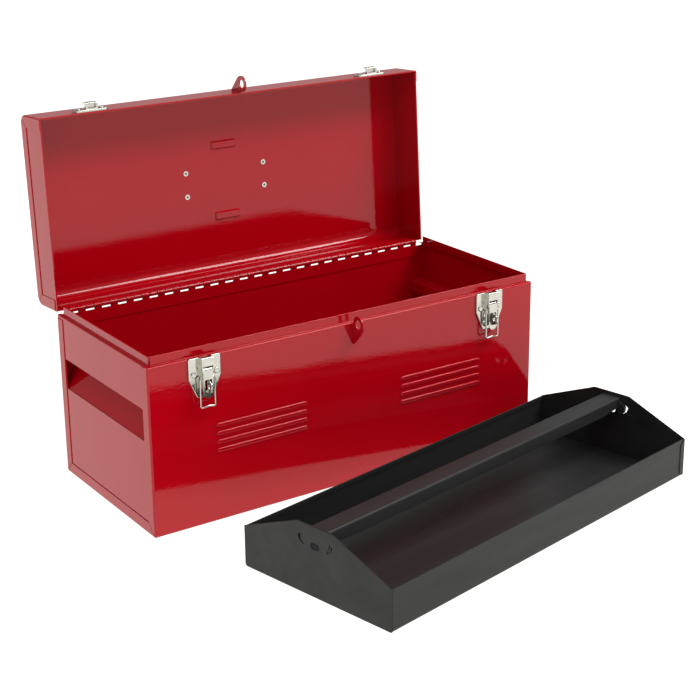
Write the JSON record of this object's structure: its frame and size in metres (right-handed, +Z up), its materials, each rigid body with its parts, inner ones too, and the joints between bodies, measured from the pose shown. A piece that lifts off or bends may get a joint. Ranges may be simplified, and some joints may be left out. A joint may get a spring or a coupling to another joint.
{
  "type": "toolbox with tray",
  "caption": "Long red steel hand-carry toolbox with its hinged lid open, draw latches, padlock ears and hand openings in the ends, and a black tote tray with gabled ends beside it.",
  "frame": {"origin": "centre of the case's underside, on the floor", "axes": "+X along the case to its right end, +Y to the hinge side, +Z up"},
  "size_m": [0.5658, 0.5898, 0.4291],
  "materials": {
    "red_enamel": "gloss enamel",
    "black_enamel": "semi-gloss enamel",
    "nickel": "bright nickel plating",
    "zinc": "drawn steel wire",
    "grip_plastic": "moulded"
  },
  "bodies": {
    "case": {"base_wrap": "red_enamel", "base_end_left": "red_enamel", "base_end_right": "red_enamel", "handle_pocket_left": "red_enamel", "handle_pocket_right": "red_enamel", "base_hinge_leaf": "red_enamel", "hinge_pin": "zinc", "base_hasp": "red_enamel", "latch_plate_left": "nickel", "latch_plate_right": "nickel", "latch_staple_left": "nickel", "latch_staple_right": "nickel", "latch_pivot_left": "nickel", "latch_pivot_right": "nickel", "latch_rivets": "nickel"},
    "lid": {"lid_wrap": "red_enamel", "lid_end_left": "red_enamel", "lid_end_right": "red_enamel", "lid_hinge_leaf": "red_enamel", "lid_hasp": "red_enamel", "lid_catch_left": "nickel", "lid_catch_right": "nickel", "catch_rivets": "nickel", "handle_bracket_left": "nickel", "handle_bracket_right": "nickel", "handle_rivets": "nickel"},
    "lever_left": {"latch_lever_left": "nickel"},
    "bail_left": {"latch_bail_left": "nickel"},
    "lever_right": {"latch_lever_right": "nickel"},
    "bail_right": {"latch_bail_right": "nickel"},
    "carrying_handle": {"carry_bail": "nickel", "carry_grip": "grip_plastic"},
    "tray": {"tray_pan": "black_enamel", "tray_end_left": "black_enamel", "tray_end_right": "black_enamel", "tray_handle": "black_enamel"}
  },
  "joints": [
    {"name": "lid_hinge", "type": "hinge", "parent": "case", "child": "lid", "pos_m": [0, 0.109, 0.1917], "axis": [1, 0, 0], "range_deg": [0, 93.5]},
    {"name": "latch_lever_left", "type": "hinge", "parent": "case", "child": "lever_left", "pos_m": [-0.1885, -0.1163, 0.1773], "axis": [1, 0, 0], "range_deg": [-115, 0]},
    {"name": "latch_bail_left", "type": "hinge", "parent": "lever_left", "child": "bail_left", "pos_m": [-0.1885, -0.1163, 0.1685], "axis": [-1, 0, 0], "range_deg": [0, 184.5]},
    {"name": "latch_lever_right", "type": "hinge", "parent": "case", "child": "lever_right", "pos_m": [0.1885, -0.1163, 0.1773], "axis": [1, 0, 0], "range_deg": [-115, 0]},
    {"name": "latch_bail_right", "type": "hinge", "parent": "lever_right", "child": "bail_right", "pos_m": [0.1885, -0.1163, 0.1685], "axis": [-1, 0, 0], "range_deg": [0, 184.5]},
    {"name": "carrying_handle_fold", "type": "hinge", "parent": "lid", "child": "carrying_handle", "pos_m": [0, 0.17285, 0.297], "axis": [1, 0, 0], "range_deg": [-5, 178]},
    {"name": "tray_lift", "type": "slide", "parent": "case", "child": "tray", "axis": [0, 0, 1], "range_m": [0, 0.25]}
  ]
}
